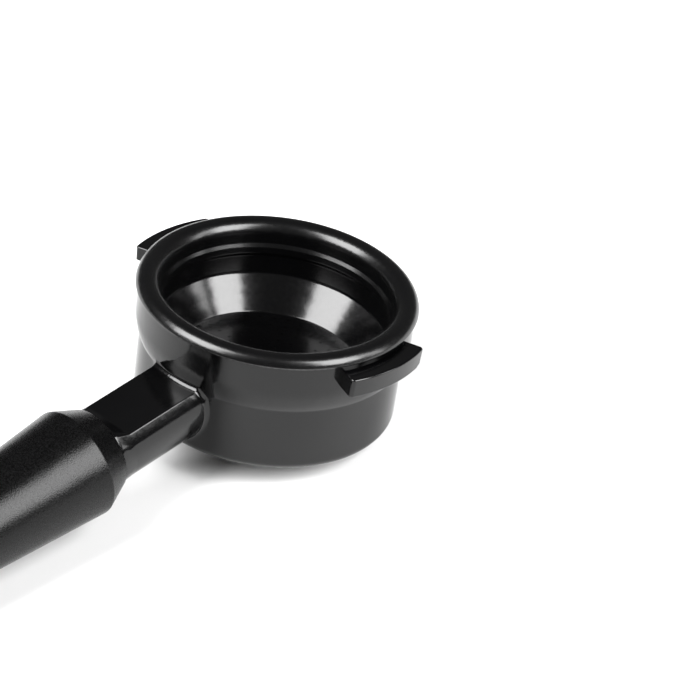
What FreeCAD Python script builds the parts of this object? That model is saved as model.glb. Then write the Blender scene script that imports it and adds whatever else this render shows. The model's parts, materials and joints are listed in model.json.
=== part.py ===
import FreeCAD, Part
import math
import os
import Sketcher
from FreeCAD import Placement, Rotation, Vector

# A bottomless portafilter of the 58 mm class. Each body is modelled in its own upright frame, in millimetres:
# the head's bodies stand on the head's base with +Z along the head's axis, and the handle's bodies have +Z
# along the handle, measured from where its axis crosses the head's. Their placements then put them at rest,
# with the far edge of the head's base and the swell of the grip on the table.

DIMENSIONS = (
    # head casting
    ("band_radius", 34.62, "outside of the head's upper band"),
    ("wall_radius", 33.17, "outside of the head's lower wall"),
    ("head_height", 30.75, "from the base to the face that the basket hangs on"),
    ("shoulder_level", 17.21, "level where the band's curved foot meets the lower wall"),
    ("shoulder_bend", 20.89, "level where the foot's slope would meet the upright band"),
    ("shoulder_arc", 16.44, "radius of the band's curved foot"),
    ("base_round", 2.32, "rounding of the base's outer edge"),
    ("top_round", 0.2, "rounding of the head's top edge"),
    ("edge_round", 0.45, "rounding of the other turned edges"),
    ("bore_radius", 30.2, "bore that the basket hangs in"),
    ("mouth_chamfer", 0.9, "chamfer at the bore's mouth"),
    ("opening_radius", 27.66, "open bottom of the head"),
    ("lip_height", 3.87, "height of the lip around the open bottom"),
    ("groove_level", 25.82, "middle of the spring's groove"),
    ("groove_radius", 31.35, "bottom of the spring's groove"),
    ("groove_width", 1.45, "width of the spring's groove"),
    # bayonet lugs
    ("lug_radius", 39.94, "outside of a lug"),
    ("lug_root", 31.91, "inside of a lug, within the head's wall"),
    ("lug_top", 29.78, "level of a lug's top face"),
    ("lug_thickness", 5.13, "from a lug's top to its underside"),
    ("lug_angle", 37.5, "angle that a lug spans"),
    ("lug_draft", 0.25, "how much smaller a lug's radius is at its underside"),
    ("lead_in_height", 1.35, "rise of the ramp under a lug's leading end"),
    ("lead_in_length", 2.9, "length of that ramp"),
    ("lug_corner", 0.97, "rounding of a lug's upright corners"),
    ("lug_round", 0.4, "rounding of a lug's edges"),
    # neck
    ("neck_level", 17.41, "where the handle's axis crosses the head's axis"),
    ("neck_tilt", 9.7, "fall of the handle's axis below the base's plane"),
    ("neck_radius", 9.77, "radius of the neck"),
    ("neck_flat", 6.53, "height of the neck's flat above its axis"),
    ("neck_start", 30.36, "where the neck starts, within the head's wall"),
    ("flare_start", 54.73, "where the neck starts to flare"),
    ("flare_end", 58.21, "where the flare ends"),
    ("flat_corner", 0.6, "rounding of the long edges of the neck's flat"),
    ("corner_start", 33.84, "where that rounding starts, clear of the root fillet"),
    ("flange_radius", 10.01, "radius of the neck's end"),
    ("flange_flat", 7.93, "height of the flat at the neck's end"),
    ("flange_corner", 2.13, "rounding beside the flat at the neck's end"),
    ("neck_end", 58.94, "end face of the neck"),
    ("root_fillet", 1.4, "fillet between the neck and the head"),
    ("spigot_radius", 7.0, "spigot that centres the grip"),
    ("spigot_length", 5.0, "length of that spigot"),
    ("bolt_hole", 4.05, "radius of the neck's threaded hole"),
    ("bolt_hole_depth", 26.11, "depth of that hole, to the drill's shoulder"),
    # basket
    ("sheet", 0.6, "thickness of the basket's sheet"),
    ("basket_radius", 29.2, "inside of the basket"),
    ("seat_gap", 0.05, "from the head's top face to the rim's underside"),
    ("rim_radius", 35.5, "outside of the basket's rolled rim"),
    ("rim_top", 33.36, "level of the rim's top"),
    ("rim_slope", 0.62, "how much narrower the rim's corner is than its foot"),
    ("rim_outer_round", 2.66, "outer rounding of the rim"),
    ("rim_inner_round", 3.19, "inner rounding of the rim"),
    ("rim_foot_round", 0.38, "rounding of the rim's lower edge"),
    ("rib_depth", 0.55, "how far the formed rib stands into the basket"),
    ("rib_half", 1.93, "half the height of the formed rib"),
    ("rib_flat", 0.8, "half the height of the rib's crest"),
    ("rib_round", 0.8, "rounding of the rib"),
    ("knee_level", 18.86, "where the basket's wall turns in"),
    ("knee_round", 1.74, "rounding of that turn"),
    ("bowl_radius", 26.06, "inside of the bowl at its middle"),
    ("bowl_level", 14.31, "level of the bowl's middle"),
    ("bowl_round", 21.27, "rounding of the bowl"),
    ("floor_radius", 23.21, "inside of the basket at its floor"),
    ("floor_level", 10.35, "upper face of the floor"),
    ("floor_round", 0.9, "rounding between the bowl and the floor"),
    ("hole_radius", 0.3, "radius of a perforation"),
    ("hole_pitch", 3.5, "distance between the rings of perforations"),
    ("hole_rings", 6, "number of rings of perforations"),
    # basket spring
    ("wire_radius", 0.7, "radius of the spring's wire"),
    ("spring_radius", 30.58, "radius of the spring's centre line"),
    ("spring_angle", 334.0, "angle that the spring spans"),
    # grip
    ("grip_start", 59.13, "front face of the grip"),
    ("front_radius", 10.69, "radius of that face"),
    ("shoulder_start", 66.14, "where the grip's front cone ends"),
    ("grip_radius", 13.83, "radius there, the widest of the front"),
    ("shoulder_round", 1.06, "rounding there"),
    ("waist_position", 117.97, "position of the grip's waist"),
    ("waist_corner", 9.67, "radius where the two tapers meet at the waist"),
    ("waist_round", 96.7, "rounding of the waist"),
    ("swell_position", 160.52, "position of the grip's swell"),
    ("swell_corner", 13.63, "radius where the tapers meet at the swell"),
    ("swell_round", 38.68, "rounding of the swell"),
    ("grip_end", 175.03, "rear face of the grip"),
    ("end_corner", 11.31, "radius of that face before rounding"),
    ("end_round", 2.13, "rounding of the rear edge"),
    ("spigot_bore", 7.15, "bore for the neck's spigot"),
    ("spigot_bore_depth", 5.6, "depth of that bore"),
    ("shank_bore", 4.5, "bore for the tie bolt"),
    ("pocket_radius", 8.4, "pocket for the bolt's head and the cap"),
    ("pocket_start", 152.79, "floor of that pocket"),
    # grip seal
    ("seal_radius", 9.28, "outside of the seal between the neck and the grip"),
    # tie bolt and washers
    ("bolt_radius", 4.0, "radius of the bolt's shank and thread"),
    ("bolt_tip", 40.61, "position of the bolt's tip"),
    ("bolt_head_radius", 6.5, "radius of the bolt's head"),
    ("bolt_head_height", 8.0, "height of the bolt's head"),
    ("socket_width", 6.0, "width across flats of the hexagon socket"),
    ("socket_depth", 4.0, "depth of the socket"),
    ("tip_chamfer", 1.0, "chamfer of the bolt's tip"),
    ("washer_hole", 4.2, "hole radius of both washers"),
    ("washer_radius", 8.0, "outside of the plain washer"),
    ("washer_thickness", 1.6, "thickness of the plain washer"),
    ("lock_radius", 6.6, "outside of the lock washer"),
    ("lock_thickness", 2.0, "thickness of the lock washer"),
    ("lock_gap", 1.2, "gap in the lock washer"),
    # end cap and its ring
    ("plug_start", 166.32, "inner end of the cap's plug"),
    ("plug_radius", 8.25, "radius of the cap's plug"),
    ("cap_radius", 9.9, "radius of the cap's head"),
    ("cap_height", 2.0, "height of the cap's head"),
    ("cap_round", 1.3, "rounding of the cap's head"),
    ("ring_position", 170.19, "position of the cap's O-ring"),
    ("ring_radius", 7.5, "radius of the O-ring's centre line"),
    ("ring_wire", 0.9, "radius of the O-ring's section"),
    ("ring_groove_width", 2.2, "width of the O-ring's groove"),
    ("ring_groove_radius", 6.55, "bottom of the O-ring's groove"),
)

doc = FreeCAD.newDocument("portafilter")
sheet = doc.addObject("Spreadsheet::Sheet", "Dim")
for row, (alias, size, meaning) in enumerate(DIMENSIONS, start=1):
    sheet.set(f"A{row}", str(size))
    sheet.setAlias(f"A{row}", alias)
    sheet.set(f"B{row}", meaning)
doc.recompute()


def number(text):
    """The value of an expression in the sheet's aliases."""
    return float(sheet.evalExpression(text))


# ---------------------------------------------------------------- helpers for bodies and sketches

def new_body(name):
    body = doc.addObject("PartDesign::Body", name)
    body.Label = name
    return body


def origin_feature(body, role):
    return next(f for f in body.Origin.OriginFeatures if f.Role == role)


def new_sketch(body, name, plane="XY_Plane"):
    sketch = body.newObject("Sketcher::SketchObject", name)
    sketch.AttachmentSupport = [(origin_feature(body, plane), "")]
    sketch.MapMode = "FlatFace"
    return sketch


def lift(sketch, height):
    """Moves a sketch along its plane's normal by an expression."""
    sketch.setExpression("AttachmentOffset.Base.z", height)


def across_neck(sketch, position):
    """Turns a sketch of the head to face along the neck, at a position on the neck's axis."""
    sketch.AttachmentOffset = Placement(Vector(), Rotation(Vector(1, 0, 0), 90 + number("Dim.neck_tilt")))
    sketch.setExpression("AttachmentOffset.Rotation.Angle", "90 + Dim.neck_tilt")
    sketch.setExpression("AttachmentOffset.Base.y", f"-({position}) * cos(Dim.neck_tilt * 1 deg)")
    sketch.setExpression("AttachmentOffset.Base.z",
                         f"Dim.neck_level - ({position}) * sin(Dim.neck_tilt * 1 deg)")


def bind(sketch, index, text):
    sketch.setExpression(f"Constraints[{index}]", text)


def pin_point(sketch, geometry, end, x, y):
    """Ties a point to the sketch's axes by two expressions, where "0" means on the axis itself."""
    for text, direction, axis in ((x, "DistanceX", -2), (y, "DistanceY", -1)):
        if text == "0":
            sketch.addConstraint(Sketcher.Constraint("PointOnObject", geometry, end, axis))
        else:
            size = number(text)
            bind(sketch, sketch.addConstraint(
                Sketcher.Constraint(direction, -1, 1, geometry, end, size)), text)


def outline(sketch, corners):
    """A closed outline. A corner is (x, y), or (x, y, radius) where it is rounded, all as expressions."""
    count = len(corners)
    points = [Vector(number(c[0]), number(c[1]), 0) for c in corners]
    arrive, leave, middle = [], [], []
    for i, corner in enumerate(corners):
        here = points[i]
        back = (points[i - 1] - here).normalize()
        ahead = (points[(i + 1) % count] - here).normalize()
        radius = number(corner[2]) if len(corner) > 2 else 0.0
        half = back.getAngle(ahead) / 2
        inward = (back + ahead).normalize() if radius else Vector()
        arrive.append(here + back * (radius / math.tan(half)))
        leave.append(here + ahead * (radius / math.tan(half)))
        middle.append(here + inward * (radius / math.sin(half) - radius))
    lines = [sketch.addGeometry(Part.LineSegment(leave[i], arrive[(i + 1) % count])) for i in range(count)]
    for i, corner in enumerate(corners):
        before, after = lines[i - 1], lines[i]
        if len(corner) == 2:
            sketch.addConstraint(Sketcher.Constraint("Coincident", before, 2, after, 1))
            pin_point(sketch, after, 1, corner[0], corner[1])
            continue
        arc = sketch.addGeometry(Part.Arc(arrive[i], middle[i], leave[i]))
        starts_here = sketch.getPoint(arc, 1).distanceToPoint(arrive[i]) < 1e-6
        first, last = (1, 2) if starts_here else (2, 1)
        sketch.addConstraint(Sketcher.Constraint("Tangent", before, 2, arc, first))
        sketch.addConstraint(Sketcher.Constraint("Tangent", arc, last, after, 1))
        bind(sketch, sketch.addConstraint(Sketcher.Constraint("Radius", arc, number(corner[2]))), corner[2])
        vertex = sketch.addGeometry(Part.Point(points[i]), True)
        sketch.addConstraint(Sketcher.Constraint("PointOnObject", vertex, 1, before))
        sketch.addConstraint(Sketcher.Constraint("PointOnObject", vertex, 1, after))
        pin_point(sketch, vertex, 1, corner[0], corner[1])


def circle(sketch, radius, x="0", y="0"):
    centre = Vector(number(x), number(y), 0)
    ring = sketch.addGeometry(Part.Circle(centre, Vector(0, 0, 1), number(radius)))
    bind(sketch, sketch.addConstraint(Sketcher.Constraint("Radius", ring, number(radius))), radius)
    pin_point(sketch, ring, 3, x, y)


def flat_topped_round(sketch, radius, height, corner):
    """A circle about the sketch's origin with a flat across its top and rounded corners beside the flat."""
    size, top, small = number(radius), number(height), number(corner)
    side = math.sqrt((size - small) ** 2 - (top - small) ** 2)
    slope = math.atan2(top - small, side)
    touch = Vector(size * math.cos(slope), size * math.sin(slope), 0)
    bend = (math.pi / 2 + slope) / 2
    crown = Vector(side + small * math.cos(bend), top - small + small * math.sin(bend), 0)

    def mirrored(point):
        return Vector(-point.x, point.y, 0)

    round_side = sketch.addGeometry(Part.Arc(mirrored(touch), Vector(0, -size, 0), touch))
    right = sketch.addGeometry(Part.Arc(touch, crown, Vector(side, top, 0)))
    flat = sketch.addGeometry(Part.LineSegment(Vector(side, top, 0), Vector(-side, top, 0)))
    left = sketch.addGeometry(Part.Arc(Vector(-side, top, 0), mirrored(crown), mirrored(touch)))
    sketch.addConstraint(Sketcher.Constraint("Coincident", round_side, 3, -1, 1))
    sketch.addConstraint(Sketcher.Constraint("Tangent", round_side, 2, right, 1))
    sketch.addConstraint(Sketcher.Constraint("Tangent", right, 2, flat, 1))
    sketch.addConstraint(Sketcher.Constraint("Tangent", flat, 2, left, 1))
    sketch.addConstraint(Sketcher.Constraint("Tangent", left, 2, round_side, 1))
    sketch.addConstraint(Sketcher.Constraint("Horizontal", flat))
    for arc, value, text in ((round_side, size, radius), (right, small, corner), (left, small, corner)):
        bind(sketch, sketch.addConstraint(Sketcher.Constraint("Radius", arc, value)), text)
    bind(sketch, sketch.addConstraint(Sketcher.Constraint("DistanceY", -1, 1, flat, 1, top)), height)


def sharp_flat_topped_round(sketch, radius, height):
    """A circle about the sketch's origin with a flat across its top."""
    size, top = number(radius), number(height)
    half = math.sqrt(size * size - top * top)
    arc = sketch.addGeometry(Part.Arc(Vector(-half, top, 0), Vector(0, -size, 0), Vector(half, top, 0)))
    flat = sketch.addGeometry(Part.LineSegment(Vector(half, top, 0), Vector(-half, top, 0)))
    sketch.addConstraint(Sketcher.Constraint("Coincident", arc, 3, -1, 1))
    sketch.addConstraint(Sketcher.Constraint("Coincident", arc, 2, flat, 1))
    sketch.addConstraint(Sketcher.Constraint("Coincident", flat, 2, arc, 1))
    sketch.addConstraint(Sketcher.Constraint("Horizontal", flat))
    bind(sketch, sketch.addConstraint(Sketcher.Constraint("Radius", arc, size)), radius)
    bind(sketch, sketch.addConstraint(Sketcher.Constraint("DistanceY", -1, 1, flat, 1, top)), height)


def beside_flat(sketch, radius, height, corner, sign):
    """The sliver to take off one long edge of the flat, so that a rounded corner is left."""
    side = f"{sign}sqrt(({radius} - {corner}) ^ 2 - ({height} - {corner}) ^ 2)"
    outer = f"{sign}({radius} + 1)"
    above = f"{height} + 1"
    touch_x = f"{side} * {radius} / ({radius} - {corner})"
    touch_y = f"({height} - {corner}) * {radius} / ({radius} - {corner})"
    corners = ((side, height), (side, above), (outer, above), (outer, touch_y), (touch_x, touch_y))
    points = [Vector(number(x), number(y), 0) for x, y in corners]
    sides = [sketch.addGeometry(Part.LineSegment(points[k], points[k + 1])) for k in range(4)]
    for k in range(3):
        sketch.addConstraint(Sketcher.Constraint("Coincident", sides[k], 2, sides[k + 1], 1))
    centre = Vector(points[0].x, number(f"{height} - {corner}"), 0)
    middle = centre + ((points[0] + points[4]) / 2 - centre).normalize() * number(corner)
    arc = sketch.addGeometry(Part.Arc(points[4], middle, points[0]))
    starts_low = sketch.getPoint(arc, 1).distanceToPoint(points[4]) < 1e-6
    low, high = (1, 2) if starts_low else (2, 1)
    sketch.addConstraint(Sketcher.Constraint("Coincident", arc, low, sides[3], 2))
    sketch.addConstraint(Sketcher.Constraint("Coincident", arc, high, sides[0], 1))
    bind(sketch, sketch.addConstraint(Sketcher.Constraint("Radius", arc, number(corner))), corner)
    for k in range(4):
        pin_point(sketch, sides[k], 1, *corners[k])
    pin_point(sketch, sides[3], 2, *corners[4])


def neck_section(body, name, position, radius, height, corner):
    sketch = new_sketch(body, name)
    across_neck(sketch, position)
    flat_topped_round(sketch, radius, height, corner)
    return sketch


def loft(body, name, first, second):
    feature = body.newObject("PartDesign::AdditiveLoft", name)
    feature.Profile = first
    feature.Sections = [(second, [""])]
    feature.Ruled = True
    return feature


def hexagon(sketch, width):
    """A regular hexagon about the sketch's origin, by its width across flats."""
    radius = number(width) / math.sqrt(3)
    around = [Vector(radius * math.cos(math.radians(60 * k)), radius * math.sin(math.radians(60 * k)), 0)
              for k in range(6)]
    sides = [sketch.addGeometry(Part.LineSegment(around[k], around[(k + 1) % 6])) for k in range(6)]
    guide = sketch.addGeometry(Part.Circle(Vector(), Vector(0, 0, 1), radius), True)
    sketch.addConstraint(Sketcher.Constraint("Coincident", guide, 3, -1, 1))
    bind(sketch, sketch.addConstraint(Sketcher.Constraint("Radius", guide, radius)), f"{width} / sqrt(3)")
    for k in range(6):
        sketch.addConstraint(Sketcher.Constraint("Coincident", sides[k], 2, sides[(k + 1) % 6], 1))
        sketch.addConstraint(Sketcher.Constraint("PointOnObject", sides[k], 1, guide))
        if k:
            sketch.addConstraint(Sketcher.Constraint("Equal", sides[0], sides[k]))
    sketch.addConstraint(Sketcher.Constraint("PointOnObject", sides[0], 1, -1))


def pad(body, sketch, name, length, reverse=False):
    feature = body.newObject("PartDesign::Pad", name)
    feature.Profile = sketch
    feature.Length = number(length)
    feature.setExpression("Length", length)
    feature.Reversed = reverse
    return feature


def pocket(body, sketch, name, length, reverse=False):
    feature = body.newObject("PartDesign::Pocket", name)
    feature.Profile = sketch
    feature.Length = number(length)
    feature.setExpression("Length", length)
    feature.Reversed = reverse
    return feature


def turned(body, kind, name, corners):
    """A Revolution or Groove of a closed outline, given as (radius, height) corners, about the body's Z."""
    sketch = new_sketch(body, f"{name}_sketch", "XZ_Plane")
    outline(sketch, corners)
    feature = body.newObject(f"PartDesign::{kind}", name)
    feature.Profile = sketch
    feature.ReferenceAxis = (sketch, ["V_Axis"])
    feature.Angle = 360
    return feature


def polar(body, feature, name, occurrences):
    pattern = body.newObject("PartDesign::PolarPattern", name)
    pattern.Originals = [feature]
    pattern.Axis = (origin_feature(body, "Z_Axis"), [""])
    pattern.Angle = 360
    pattern.Occurrences = occurrences
    body.Tip = pattern
    return pattern


def dress(body, kind, name, base, wanted, size):
    """A Fillet or Chamfer on those edges of the base feature for which wanted(edge) is true."""
    doc.recompute()
    edges = [f"Edge{k}" for k, edge in enumerate(base.Shape.Edges, start=1) if wanted(edge)]
    if not edges:
        raise RuntimeError(f"{name} finds no edges")
    feature = body.newObject(f"PartDesign::{kind}", name)
    feature.Base = (base, edges)
    if kind == "Fillet":
        feature.Radius = number(size)
        feature.setExpression("Radius", size)
    return feature


def middle_of(edge):
    return edge.valueAt((edge.FirstParameter + edge.LastParameter) / 2)


# ---------------------------------------------------------------- head casting

def neck_coordinates(point):
    """Position along the neck's axis, height above it and sideways offset, of a point in the head's frame."""
    tilt = math.radians(number("Dim.neck_tilt"))
    drop = point.z - number("Dim.neck_level")
    along = -point.y * math.cos(tilt) - drop * math.sin(tilt)
    above = -point.y * math.sin(tilt) + drop * math.cos(tilt)
    return along, above, point.x


def at_neck_root(edge):
    """An edge where the neck's surface runs into the head's wall."""
    span = edge.LastParameter - edge.FirstParameter
    for share in (0.02, 0.5, 0.98):
        point = edge.valueAt(edge.FirstParameter + share * span)
        along, above, sideways = neck_coordinates(point)
        on_round = abs(math.hypot(above, sideways) - number("Dim.neck_radius")) < 0.03
        on_flat = abs(above - number("Dim.neck_flat")) < 0.03
        by_wall = math.hypot(point.x, point.y) < number("Dim.band_radius + 0.1")
        if along < 0 or not by_wall or not (on_round or on_flat):
            return False
    return point.z < number("Dim.lug_top - Dim.lug_thickness")


def leads_lug(edge):
    """The lower radial edge at the end of a lug that enters the machine first."""
    if edge.Curve.TypeId != "Part::GeomLine":
        return False
    ends = [v.Point for v in edge.Vertexes]
    bottom = number("Dim.lug_top - Dim.lug_thickness")
    if any(abs(p.z - bottom) > 0.02 or math.hypot(p.x, p.y) < number("Dim.wall_radius") for p in ends):
        return False
    point = middle_of(edge)
    side = 1 if point.x > 0 else -1
    return point.y * side > 0


def outside_head(edge):
    return all(math.hypot(v.X, v.Y) > number("Dim.band_radius + 2") for v in edge.Vertexes)


def at_lug_corner(edge):
    """An upright edge at an end of a lug."""
    levels = [v.Z for v in edge.Vertexes]
    return outside_head(edge) and max(levels) - min(levels) > number("Dim.lug_thickness / 2")


def on_lug_rim(edge):
    """The long curved edges along the outside of a lug."""
    return outside_head(edge) and edge.Length > number("Dim.lug_radius / 3")


def make_holder_body():
    body = new_body("holder_body")
    turned(body, "Revolution", "cup", (
        ("0", "0"),
        ("Dim.wall_radius", "0", "Dim.base_round"),
        ("Dim.wall_radius", "Dim.shoulder_level"),
        ("Dim.band_radius", "Dim.shoulder_bend", "Dim.shoulder_arc"),
        ("Dim.band_radius", "Dim.head_height", "Dim.top_round"),
        ("0", "Dim.head_height"),
    ))

    lug_foot = "Dim.lug_top - Dim.lug_thickness"
    lug = turned(body, "Revolution", "lug", (
        ("Dim.lug_root", "Dim.lug_top"),
        ("Dim.lug_radius", "Dim.lug_top"),
        ("Dim.lug_radius - Dim.lug_draft", lug_foot),
        ("Dim.lug_root", lug_foot),
    ))
    lug.Angle = number("Dim.lug_angle")
    lug.setExpression("Angle", "Dim.lug_angle")
    lug.Midplane = True
    lugs = polar(body, lug, "lugs", 2)
    lead_in = dress(body, "Chamfer", "lead_in", lugs, leads_lug, None)
    lead_in.ChamferType = "Two distances"
    lead_in.setExpression("Size", "Dim.lead_in_length")
    lead_in.setExpression("Size2", "Dim.lead_in_height")
    corners = dress(body, "Fillet", "lug_corners", lead_in, at_lug_corner, "Dim.lug_corner")
    dress(body, "Fillet", "lug_edges", corners, on_lug_rim, "Dim.lug_round")

    bar_sketch = new_sketch(body, "neck_sketch")
    across_neck(bar_sketch, "Dim.neck_start")
    sharp_flat_topped_round(bar_sketch, "Dim.neck_radius", "Dim.neck_flat")
    bar = pad(body, bar_sketch, "neck", "Dim.flare_start - Dim.neck_start")
    dress(body, "Fillet", "neck_root", bar, at_neck_root, "Dim.root_fillet")
    for name, sign in (("right", ""), ("left", "-")):
        sliver = new_sketch(body, f"{name}_sliver_sketch")
        across_neck(sliver, "Dim.flare_start")
        beside_flat(sliver, "Dim.neck_radius", "Dim.neck_flat", "Dim.flat_corner", sign)
        pocket(body, sliver, f"{name}_sliver", "Dim.flare_start - Dim.corner_start")
    flare_section = neck_section(body, "flare_section", "Dim.flare_start", "Dim.neck_radius",
                                 "Dim.neck_flat", "Dim.flat_corner")
    flange_section = neck_section(body, "flange_section", "Dim.flare_end", "Dim.flange_radius",
                                  "Dim.flange_flat", "Dim.flange_corner")
    loft(body, "flare", flare_section, flange_section)
    flange_profile = neck_section(body, "flange_profile", "Dim.flare_end", "Dim.flange_radius",
                                  "Dim.flange_flat", "Dim.flange_corner")
    pad(body, flange_profile, "flange", "Dim.neck_end - Dim.flare_end")
    spigot_sketch = new_sketch(body, "spigot_sketch")
    across_neck(spigot_sketch, "Dim.neck_end")
    circle(spigot_sketch, "Dim.spigot_radius")
    pad(body, spigot_sketch, "spigot", "Dim.spigot_length")

    turned(body, "Groove", "bore", (
        ("0", "-1"),
        ("Dim.opening_radius", "-1"),
        ("Dim.opening_radius", "Dim.lip_height"),
        ("Dim.bore_radius", "Dim.lip_height + Dim.bore_radius - Dim.opening_radius"),
        ("Dim.bore_radius", "Dim.groove_level - Dim.groove_width / 2"),
        ("Dim.groove_radius", "Dim.groove_level - Dim.groove_width / 2"),
        ("Dim.groove_radius", "Dim.groove_level + Dim.groove_width / 2"),
        ("Dim.bore_radius", "Dim.groove_level + Dim.groove_width / 2"),
        ("Dim.bore_radius", "Dim.head_height - Dim.mouth_chamfer"),
        ("Dim.bore_radius + Dim.mouth_chamfer + 1", "Dim.head_height + 1"),
        ("0", "Dim.head_height + 1"),
    ))

    hole_sketch = new_sketch(body, "bolt_hole_sketch")
    across_neck(hole_sketch, "Dim.neck_end + Dim.spigot_length")
    circle(hole_sketch, "Dim.bolt_hole")
    doc.recompute()
    hole = body.newObject("PartDesign::Hole", "bolt_hole")
    hole.Profile = hole_sketch
    doc.recompute()
    hole.Threaded = False
    hole.setExpression("Diameter", "Dim.bolt_hole * 2")
    hole.DepthType = "Dimension"
    hole.setExpression("Depth", "Dim.bolt_hole_depth")
    hole.DrillPoint = "Angled"
    return body


# ---------------------------------------------------------------- basket and its spring

def make_filter_basket():
    body = new_body("filter_basket")
    rib_top = "Dim.groove_level + Dim.rib_half"
    crest_top = "Dim.groove_level + Dim.rib_flat"
    crest_foot = "Dim.groove_level - Dim.rib_flat"
    rib_foot = "Dim.groove_level - Dim.rib_half"
    turned(body, "Revolution", "pressing", (
        # inside, from the rim down to the floor
        ("Dim.rim_radius", "Dim.head_height + Dim.seat_gap", "Dim.rim_foot_round"),
        ("Dim.rim_radius - Dim.rim_slope", "Dim.rim_top", "Dim.rim_outer_round"),
        ("Dim.basket_radius", "Dim.rim_top", "Dim.rim_inner_round"),
        ("Dim.basket_radius", rib_top, "Dim.rib_round"),
        ("Dim.basket_radius - Dim.rib_depth", crest_top, "Dim.rib_round"),
        ("Dim.basket_radius - Dim.rib_depth", crest_foot, "Dim.rib_round"),
        ("Dim.basket_radius", rib_foot, "Dim.rib_round"),
        ("Dim.basket_radius", "Dim.knee_level", "Dim.knee_round"),
        ("Dim.bowl_radius", "Dim.bowl_level", "Dim.bowl_round"),
        ("Dim.floor_radius", "Dim.floor_level", "Dim.floor_round"),
        ("0", "Dim.floor_level"),
        # outside, back up to the rim's underside
        ("0", "Dim.floor_level - Dim.sheet"),
        ("Dim.floor_radius + Dim.sheet / 3", "Dim.floor_level - Dim.sheet", "Dim.floor_round + Dim.sheet"),
        ("Dim.bowl_radius + Dim.sheet", "Dim.bowl_level - Dim.sheet / 3", "Dim.bowl_round + Dim.sheet"),
        ("Dim.basket_radius + Dim.sheet", "Dim.knee_level - Dim.sheet / 3", "Dim.knee_round + Dim.sheet"),
        ("Dim.basket_radius + Dim.sheet", rib_foot, "Dim.rib_round"),
        ("Dim.basket_radius + Dim.sheet - Dim.rib_depth", crest_foot, "Dim.rib_round"),
        ("Dim.basket_radius + Dim.sheet - Dim.rib_depth", crest_top, "Dim.rib_round"),
        ("Dim.basket_radius + Dim.sheet", rib_top, "Dim.rib_round"),
        ("Dim.basket_radius + Dim.sheet", "Dim.head_height + Dim.seat_gap", "Dim.sheet"),
    ))

    centre_sketch = new_sketch(body, "centre_hole_sketch")
    lift(centre_sketch, "Dim.floor_level")
    circle(centre_sketch, "Dim.hole_radius")
    pocket(body, centre_sketch, "centre_hole", "Dim.sheet * 2")
    for ring in range(1, int(number("Dim.hole_rings")) + 1):
        ring_sketch = new_sketch(body, f"ring_{ring}_sketch")
        lift(ring_sketch, "Dim.floor_level")
        circle(ring_sketch, "Dim.hole_radius", x=f"Dim.hole_pitch * {ring}")
        first_hole = pocket(body, ring_sketch, f"ring_{ring}_hole", "Dim.sheet * 2")
        polar(body, first_hole, f"ring_{ring}", 6 * ring)
    return body


def make_basket_spring():
    body = new_body("basket_spring")
    sketch = new_sketch(body, "wire_sketch", "XZ_Plane")
    circle(sketch, "Dim.wire_radius", x="Dim.spring_radius", y="Dim.groove_level")
    wire = body.newObject("PartDesign::Revolution", "wire")
    wire.Profile = sketch
    wire.ReferenceAxis = (sketch, ["V_Axis"])
    wire.setExpression("Angle", "Dim.spring_angle")
    return body


# ---------------------------------------------------------------- handle

def make_grip():
    body = new_body("grip")
    turned(body, "Revolution", "turning", (
        ("Dim.spigot_bore", "Dim.grip_start"),
        ("Dim.front_radius", "Dim.grip_start", "Dim.edge_round"),
        ("Dim.grip_radius", "Dim.shoulder_start", "Dim.shoulder_round"),
        ("Dim.waist_corner", "Dim.waist_position", "Dim.waist_round"),
        ("Dim.swell_corner", "Dim.swell_position", "Dim.swell_round"),
        ("Dim.end_corner", "Dim.grip_end", "Dim.end_round"),
        ("Dim.pocket_radius", "Dim.grip_end"),
        ("Dim.pocket_radius", "Dim.pocket_start"),
        ("Dim.shank_bore", "Dim.pocket_start"),
        ("Dim.shank_bore", "Dim.grip_start + Dim.spigot_bore_depth"),
        ("Dim.spigot_bore", "Dim.grip_start + Dim.spigot_bore_depth"),
    ))
    return body


def make_grip_seal():
    body = new_body("grip_seal")
    turned(body, "Revolution", "seal", (
        ("Dim.spigot_bore", "Dim.neck_end"),
        ("Dim.seal_radius", "Dim.neck_end"),
        ("Dim.seal_radius", "Dim.grip_start"),
        ("Dim.spigot_bore", "Dim.grip_start"),
    ))
    return body


def make_tie_bolt():
    body = new_body("tie_bolt")
    under_head = "Dim.pocket_start + Dim.washer_thickness + Dim.lock_thickness"
    head_end = f"{under_head} + Dim.bolt_head_height"
    turned(body, "Revolution", "blank", (
        ("0", "Dim.bolt_tip"),
        ("Dim.bolt_radius - Dim.tip_chamfer", "Dim.bolt_tip"),
        ("Dim.bolt_radius", "Dim.bolt_tip + Dim.tip_chamfer"),
        ("Dim.bolt_radius", under_head),
        ("Dim.bolt_head_radius", under_head),
        ("Dim.bolt_head_radius", head_end, "Dim.edge_round"),
        ("0", head_end),
    ))
    socket_sketch = new_sketch(body, "socket_sketch")
    lift(socket_sketch, head_end)
    hexagon(socket_sketch, "Dim.socket_width")
    pocket(body, socket_sketch, "socket", "Dim.socket_depth")
    return body


def make_plain_washer():
    body = new_body("plain_washer")
    sketch = new_sketch(body, "washer_sketch")
    lift(sketch, "Dim.pocket_start")
    circle(sketch, "Dim.washer_radius")
    circle(sketch, "Dim.washer_hole")
    pad(body, sketch, "washer", "Dim.washer_thickness")
    return body


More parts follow.
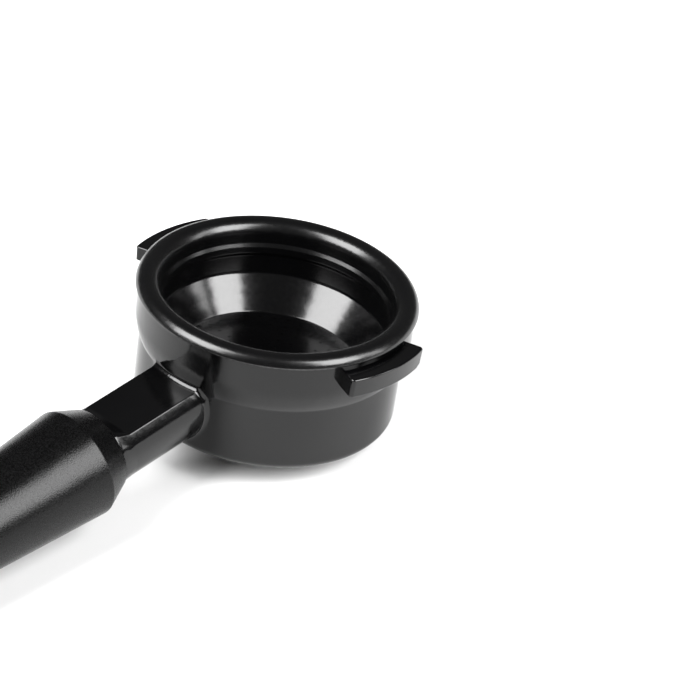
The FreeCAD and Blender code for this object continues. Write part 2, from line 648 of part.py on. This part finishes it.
def make_lock_washer():
    body = new_body("lock_washer")
    sketch = new_sketch(body, "washer_sketch")
    lift(sketch, "Dim.pocket_start + Dim.washer_thickness")
    circle(sketch, "Dim.lock_radius")
    circle(sketch, "Dim.washer_hole")
    pad(body, sketch, "washer", "Dim.lock_thickness")
    gap_sketch = new_sketch(body, "gap_sketch")
    lift(gap_sketch, "Dim.pocket_start + Dim.washer_thickness + Dim.lock_thickness")
    outline(gap_sketch, (
        ("0", "-Dim.lock_gap / 2"),
        ("Dim.lock_radius + 1", "Dim.lock_gap"),
        ("Dim.lock_radius + 1", "Dim.lock_gap * 2"),
        ("0", "Dim.lock_gap / 2"),
    ))
    pocket(body, gap_sketch, "gap", "Dim.lock_thickness")
    return body


def make_end_cap():
    body = new_body("end_cap")
    groove_start = "Dim.ring_position - Dim.ring_groove_width / 2"
    groove_end = "Dim.ring_position + Dim.ring_groove_width / 2"
    turned(body, "Revolution", "cap", (
        ("0", "Dim.plug_start"),
        ("Dim.plug_radius", "Dim.plug_start", "Dim.edge_round"),
        ("Dim.plug_radius", groove_start),
        ("Dim.ring_groove_radius", groove_start),
        ("Dim.ring_groove_radius", groove_end),
        ("Dim.plug_radius", groove_end),
        ("Dim.plug_radius", "Dim.grip_end"),
        ("Dim.cap_radius", "Dim.grip_end"),
        ("Dim.cap_radius", "Dim.grip_end + Dim.cap_height", "Dim.cap_round"),
        ("0", "Dim.grip_end + Dim.cap_height"),
    ))
    return body


def make_cap_o_ring():
    body = new_body("cap_o_ring")
    sketch = new_sketch(body, "section_sketch", "XZ_Plane")
    circle(sketch, "Dim.ring_wire", x="Dim.ring_radius", y="Dim.ring_position")
    ring = body.newObject("PartDesign::Revolution", "ring")
    ring.Profile = sketch
    ring.ReferenceAxis = (sketch, ["V_Axis"])
    ring.Angle = 360
    return body


# ---------------------------------------------------------------- rest pose

def swell_centre():
    """Centre of the rounding of the grip's swell on its underside, as y and z in the head's frame."""
    waist, swell, end = ((number(f"Dim.{p}"), -number(f"Dim.{r}")) for p, r in (
        ("waist_position", "waist_corner"), ("swell_position", "swell_corner"), ("grip_end", "end_corner")))
    here = Vector(swell[0], swell[1], 0)
    back = (Vector(waist[0], waist[1], 0) - here).normalize()
    ahead = (Vector(end[0], end[1], 0) - here).normalize()
    reach = number("Dim.swell_round") / math.sin(back.getAngle(ahead) / 2)
    centre = here + (back + ahead).normalize() * reach
    tilt = math.radians(number("Dim.neck_tilt"))
    y = -centre.x * math.cos(tilt) - centre.y * math.sin(tilt)
    z = number("Dim.neck_level") - centre.x * math.sin(tilt) + centre.y * math.cos(tilt)
    return y, z


def lean_angle():
    """How far the head leans back when the far edge of its base and the grip's swell touch one plane."""
    base_y = number("Dim.wall_radius - Dim.base_round")
    base_z = number("Dim.base_round")
    grip_y, grip_z = swell_centre()
    span = math.hypot(base_y - grip_y, base_z - grip_z)
    slope = math.atan2(base_z - grip_z, base_y - grip_y)
    return math.degrees(slope - math.asin((number("Dim.base_round") - number("Dim.swell_round")) / span))


HEAD_BODIES = (make_holder_body, make_filter_basket, make_basket_spring)
HANDLE_BODIES = (make_grip, make_grip_seal, make_tie_bolt, make_plain_washer, make_lock_washer, make_end_cap,
                 make_cap_o_ring)

lean = lean_angle()
head_at_rest = Placement(Vector(), Rotation(Vector(1, 0, 0), -lean))
along_handle = Placement(Vector(0, 0, number("Dim.neck_level")),
                         Rotation(Vector(1, 0, 0), 90 + number("Dim.neck_tilt")))
bodies = []
for make in HEAD_BODIES:
    bodies.append(make())
    bodies[-1].Placement = head_at_rest
for make in HANDLE_BODIES:
    bodies.append(make())
    bodies[-1].Placement = head_at_rest.multiply(along_handle)
doc.recompute()

for item in doc.Objects:
    if "Invalid" in item.State or "Error" in item.State:
        raise RuntimeError(f"{item.Name} failed: {item.State}")
for body in bodies:
    if body.Shape.isNull() or not body.Shape.isValid() or len(body.Shape.Solids) != 1:
        raise RuntimeError(f"{body.Label} is not one valid solid")

os.makedirs("parts", exist_ok=True)
for body in bodies:
    body.Shape.exportStep(f"parts/{body.Label}.step")
    print(f"{body.Label}: {body.Shape.Volume:.1f} mm3")
print(f"lean {lean:.7f} degrees")
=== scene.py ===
import json
import math

import bmesh
import bpy
from mathutils import Matrix, Vector


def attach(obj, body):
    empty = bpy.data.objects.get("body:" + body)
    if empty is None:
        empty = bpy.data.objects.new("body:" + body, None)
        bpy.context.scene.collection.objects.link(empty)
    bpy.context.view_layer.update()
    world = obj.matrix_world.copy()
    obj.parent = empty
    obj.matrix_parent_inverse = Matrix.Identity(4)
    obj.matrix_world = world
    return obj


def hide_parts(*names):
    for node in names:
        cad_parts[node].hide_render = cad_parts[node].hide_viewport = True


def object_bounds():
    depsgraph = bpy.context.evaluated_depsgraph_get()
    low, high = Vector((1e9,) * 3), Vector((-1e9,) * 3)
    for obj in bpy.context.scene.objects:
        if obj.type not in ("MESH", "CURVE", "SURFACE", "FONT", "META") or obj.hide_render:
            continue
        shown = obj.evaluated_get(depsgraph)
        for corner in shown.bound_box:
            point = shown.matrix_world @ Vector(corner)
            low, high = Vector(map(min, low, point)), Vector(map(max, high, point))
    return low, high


# A portafilter on a pale floor. Lengths are in metres and noise scales in features per metre.

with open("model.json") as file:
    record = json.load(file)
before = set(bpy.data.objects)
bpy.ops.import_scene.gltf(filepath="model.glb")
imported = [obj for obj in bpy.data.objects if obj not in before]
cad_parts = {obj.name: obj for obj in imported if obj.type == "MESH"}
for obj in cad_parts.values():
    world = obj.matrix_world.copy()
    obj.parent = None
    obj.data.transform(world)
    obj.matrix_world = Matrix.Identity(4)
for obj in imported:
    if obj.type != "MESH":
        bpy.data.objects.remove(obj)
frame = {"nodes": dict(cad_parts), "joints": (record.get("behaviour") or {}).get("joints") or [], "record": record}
cad_bounds = [list(corner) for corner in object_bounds()]
nodes = frame["nodes"]
joints = {joint["name"]: joint for joint in frame["joints"]}
slot_of = {part["node"]: part["material_slot"] for part in frame["record"]["subparts"]}
body_of = {name: body for body, names in frame["record"]["behaviour"]["bodies"].items() for name in names}

HEAD_AXIS = Vector(joints["basket_turn"]["axis"]).normalized()
TABLE_LEVEL = cad_bounds[0][2]


# ---------------------------------------------------------------- node helpers

def material(name, colour, roughness):
    """A Principled material; returns the material, its node tree and the shader node."""
    made = bpy.data.materials.new(name)
    made.use_nodes = True
    tree = made.node_tree
    shader = tree.nodes["Principled BSDF"]
    shader.inputs["Base Color"].default_value = (*colour, 1.0)
    shader.inputs["Roughness"].default_value = roughness
    return made, tree, shader


def object_noise(tree, scale, detail=3.0, roughness=0.5):
    """Noise over the object's own coordinates."""
    where = tree.nodes.new("ShaderNodeTexCoord")
    noise = tree.nodes.new("ShaderNodeTexNoise")
    noise.inputs["Scale"].default_value = scale
    noise.inputs["Detail"].default_value = detail
    noise.inputs["Roughness"].default_value = roughness
    tree.links.new(where.outputs["Object"], noise.inputs["Vector"])
    return noise.outputs["Fac"]


def spread(tree, source, low, high, from_low=0.3, from_high=0.7):
    """Maps a value to a range. The default input range holds nearly all of a noise."""
    ranged = tree.nodes.new("ShaderNodeMapRange")
    ranged.inputs["From Min"].default_value = from_low
    ranged.inputs["From Max"].default_value = from_high
    ranged.inputs["To Min"].default_value = low
    ranged.inputs["To Max"].default_value = high
    tree.links.new(source, ranged.inputs["Value"])
    return ranged.outputs["Result"]


def bump(tree, shader, height, distance, strength, after=None):
    """Adds relief to the shader's normal, on top of an earlier relief if one is given."""
    made = tree.nodes.new("ShaderNodeBump")
    made.inputs["Distance"].default_value = distance
    made.inputs["Strength"].default_value = strength
    tree.links.new(height, made.inputs["Height"])
    if after is not None:
        tree.links.new(after, made.inputs["Normal"])
    tree.links.new(made.outputs["Normal"], shader.inputs["Normal"])
    return made.outputs["Normal"]


def mix_colour(tree, factor, first, second):
    made = tree.nodes.new("ShaderNodeMix")
    made.data_type = "RGBA"
    made.inputs["A"].default_value = (*first, 1.0)
    made.inputs["B"].default_value = (*second, 1.0)
    tree.links.new(factor, made.inputs["Factor"])
    return made.outputs["Result"]


def duller_upwards(tree, roughness, low_level, high_level, extra):
    """Adds to a roughness along the head's axis, from nothing at the low level to all of it at the high one."""
    where = tree.nodes.new("ShaderNodeTexCoord")
    along = tree.nodes.new("ShaderNodeVectorMath")
    along.operation = "DOT_PRODUCT"
    along.inputs[1].default_value = HEAD_AXIS
    tree.links.new(where.outputs["Object"], along.inputs[0])
    total = tree.nodes.new("ShaderNodeMath")
    total.operation = "ADD"
    tree.links.new(roughness, total.inputs[0])
    tree.links.new(spread(tree, along.outputs["Value"], 0.0, extra, low_level, high_level), total.inputs[1])
    return total.outputs["Value"]


# ---------------------------------------------------------------- materials

def black_coating(name, dark, light, specular, roughness, peel, handled=None):
    """A gloss black coating: faint flow waves, a little dust in the gloss and a slight variation of tone.

    roughness is a range. handled holds two levels up the head's axis and the roughness that handling adds
    between them.
    """
    made, tree, shader = material(name, dark, roughness[0])
    shader.inputs["Specular IOR Level"].default_value = specular
    tone = spread(tree, object_noise(tree, 60.0, 4.0), 0.0, 1.0)
    tree.links.new(mix_colour(tree, tone, dark, light), shader.inputs["Base Color"])
    haze = spread(tree, object_noise(tree, 900.0, 5.0, 0.6), *roughness)
    if handled is not None:
        haze = duller_upwards(tree, haze, *handled)
    tree.links.new(haze, shader.inputs["Roughness"])
    waves = bump(tree, shader, object_noise(tree, 350.0, 2.0), 0.00004, peel)
    bump(tree, shader, object_noise(tree, 5200.0, 2.0), 0.000006, 0.12, after=waves)
    return made


def anodised_grip():
    """Bead-blasted aluminium, anodised black: a fine even grain that glitters where light grazes it."""
    made, tree, shader = material("grip_anodised", (0.0015, 0.0015, 0.0016), 0.3)
    shader.inputs["Specular IOR Level"].default_value = 0.17
    grain = object_noise(tree, 3300.0, 1.0, 0.6)
    speckle = spread(tree, object_noise(tree, 2700.0, 1.0), 0.0, 1.0, 0.45, 0.62)
    tree.links.new(mix_colour(tree, speckle, (0.0003, 0.0003, 0.0003), (0.0026, 0.0026, 0.0027)),
                   shader.inputs["Base Color"])
    tree.links.new(spread(tree, grain, 0.22, 0.32), shader.inputs["Roughness"])
    bump(tree, shader, grain, 0.00006, 0.6)
    return made


def steel(name, colour, roughness, scale):
    """Plain steel with fine scratches."""
    made, tree, shader = material(name, colour, roughness)
    shader.inputs["Metallic"].default_value = 1.0
    scratches = object_noise(tree, scale, 4.0)
    tree.links.new(spread(tree, scratches, roughness * 0.8, roughness * 1.3), shader.inputs["Roughness"])
    bump(tree, shader, scratches, 0.00002, 0.3)
    return made


def moulded(name, colour, roughness, scale):
    """Moulded rubber or plastic with a fine texture."""
    made, tree, shader = material(name, colour, roughness)
    texture = object_noise(tree, scale, 3.0)
    tree.links.new(spread(tree, texture, roughness * 0.85, roughness * 1.15), shader.inputs["Roughness"])
    bump(tree, shader, texture, 0.00004, 0.4)
    return made


FINISHES = {
    "head_enamel": black_coating("head_enamel", (0.0006, 0.0006, 0.0007), (0.0012, 0.0012, 0.0013),
                                 specular=0.31, roughness=(0.09, 0.15), peel=0.05),
    "basket_coating": black_coating("basket_coating", (0.0005, 0.0005, 0.0006), (0.001, 0.001, 0.0011),
                                    specular=0.42, roughness=(0.14, 0.19), peel=0.04,
                                    handled=(0.0213, 0.031, 0.08)),
    "grip_anodised": anodised_grip(),
    "spring_steel": steel("spring_steel", (0.50, 0.50, 0.51), 0.30, 2500.0),
    "bolt_steel": steel("bolt_steel", (0.55, 0.55, 0.56), 0.28, 1800.0),
    "black_rubber": moulded("black_rubber", (0.012, 0.012, 0.012), 0.72, 1500.0),
    "cap_plastic": moulded("cap_plastic", (0.012, 0.012, 0.013), 0.5, 2200.0),
}

for name, item in nodes.items():
    for held in item.material_slots:
        held.material = FINISHES[slot_of[name]]


# ---------------------------------------------------------------- visible pieces, with clean shading

WELD = 1.0e-6
SHARP = math.radians(33.0)
FACE_WEIGHT = 90


def smoothed(name):
    """A piece in a CAD node's exact shape, with its faces joined and evenly weighted normals."""
    mesh = nodes[name].data.copy()
    mesh.name = f"{name}_smooth"
    form = bmesh.new()
    form.from_mesh(mesh)
    bmesh.ops.remove_doubles(form, verts=form.verts, dist=WELD)
    bmesh.ops.dissolve_degenerate(form, edges=form.edges, dist=WELD)
    for face in form.faces:
        face.smooth = True
    for edge in form.edges:
        edge.smooth = len(edge.link_faces) == 2 and edge.calc_face_angle(0.0) < SHARP
    form.to_mesh(mesh)
    form.free()
    if mesh.attributes.get("custom_normal") is not None:
        mesh.attributes.remove(mesh.attributes["custom_normal"])
    mesh.materials.clear()
    mesh.materials.append(FINISHES[slot_of[name]])
    made = bpy.data.objects.new(f"{name}_smooth", mesh)
    bpy.context.scene.collection.objects.link(made)
    even = made.modifiers.new("even_normals", "WEIGHTED_NORMAL")
    even.mode = "FACE_AREA"
    even.weight = FACE_WEIGHT
    even.keep_sharp = True
    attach(made, body_of[name])
    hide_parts(name)


for name in ("holder_body", "filter_basket", "grip"):
    smoothed(name)


# ---------------------------------------------------------------- camera

CAMERA_AZIMUTH = math.radians(41.5)
CAMERA_ELEVATION = math.radians(37.1)
CAMERA_ROLL = math.radians(3.4)
CAMERA_DISTANCE = 0.67477
CAMERA_TARGET = Vector((0.01202, 0.01440, 0.01690))
LENS_MM = 142.34
SENSOR_MM = 36.0

back = Vector((math.sin(CAMERA_AZIMUTH) * math.cos(CAMERA_ELEVATION),
               -math.cos(CAMERA_AZIMUTH) * math.cos(CAMERA_ELEVATION),
               math.sin(CAMERA_ELEVATION)))
level_right = Vector((math.cos(CAMERA_AZIMUTH), math.sin(CAMERA_AZIMUTH), 0.0))
level_up = back.cross(level_right)
right = level_right * math.cos(CAMERA_ROLL) + level_up * math.sin(CAMERA_ROLL)
up = level_up * math.cos(CAMERA_ROLL) - level_right * math.sin(CAMERA_ROLL)
camera_data = bpy.data.cameras.new("camera")
camera_data.lens = LENS_MM
camera_data.sensor_width = SENSOR_MM
camera_data.clip_start = 0.01
camera = bpy.data.objects.new("camera", camera_data)
bpy.context.scene.collection.objects.link(camera)
camera.matrix_world = (Matrix.Translation(CAMERA_TARGET + back * CAMERA_DISTANCE)
                       @ Matrix((right, up, back)).transposed().to_4x4())
bpy.context.scene.camera = camera


# ---------------------------------------------------------------- floor and light

FLOOR_HALF = 3.0
FLOOR_TONE = 0.6
SKY_STRENGTH = 0.12
LIT_CENTRE = Vector((0.0, 0.0, 0.02))


def floor():
    """A pale matt floor at the level that the part lies on."""
    mesh = bpy.data.meshes.new("floor")
    corners = [(x * FLOOR_HALF, y * FLOOR_HALF, TABLE_LEVEL) for x, y in ((-1, -1), (1, -1), (1, 1), (-1, 1))]
    mesh.from_pydata(corners, [], [(0, 1, 2, 3)])
    finish, _, shader = material("pale_floor", (FLOOR_TONE,) * 3, 0.9)
    shader.inputs["Specular IOR Level"].default_value = 0.1
    mesh.materials.append(finish)
    made = bpy.data.objects.new("floor", mesh)
    bpy.context.scene.collection.objects.link(made)


def direction(azimuth, elevation):
    """A unit vector; azimuth counts from +X towards +Y, both in degrees."""
    turn, rise = math.radians(azimuth), math.radians(elevation)
    return Vector((math.cos(turn) * math.cos(rise), math.sin(turn) * math.cos(rise), math.sin(rise)))


def softbox(name, foot, head, span, radiance):
    """A rectangular light a metre from the head.

    foot and head are the middles of its lower and upper edges, as azimuth and elevation. span is its width
    in degrees, as seen from the head.
    """
    low, high = direction(*foot), direction(*head)
    middle = (low + high) / 2
    along = (high - low).normalized()
    outward = (middle - along * middle.dot(along)).normalized()
    data = bpy.data.lights.new(name, "AREA")
    data.shape = "RECTANGLE"
    data.size = 2.0 * math.tan(math.radians(span / 2)) * middle.length
    data.size_y = (high - low).length
    data.energy = radiance * math.pi * data.size * data.size_y
    made = bpy.data.objects.new(name, data)
    bpy.context.scene.collection.objects.link(made)
    made.matrix_world = (Matrix.Translation(middle + LIT_CENTRE)
                         @ Matrix((along.cross(outward), along, outward)).transposed().to_4x4())


floor()
world = bpy.data.worlds.new("world")
bpy.context.scene.world = world
world.use_nodes = True
sky = world.node_tree.nodes["Background"]
sky.inputs["Color"].default_value = (1.0, 1.0, 1.0, 1.0)
sky.inputs["Strength"].default_value = SKY_STRENGTH

softbox("left_box", (-108.0, 25.0), (-137.0, 66.0), 36.0, 20.0)
softbox("right_box", (9.0, 19.0), (32.0, 58.0), 29.0, 20.0)
softbox("right_fill", (38.0, 6.0), (46.0, 36.0), 12.0, 8.0)

view = bpy.context.scene.view_settings
view.view_transform = "Standard"
view.look = "None"
view.exposure = 0.0
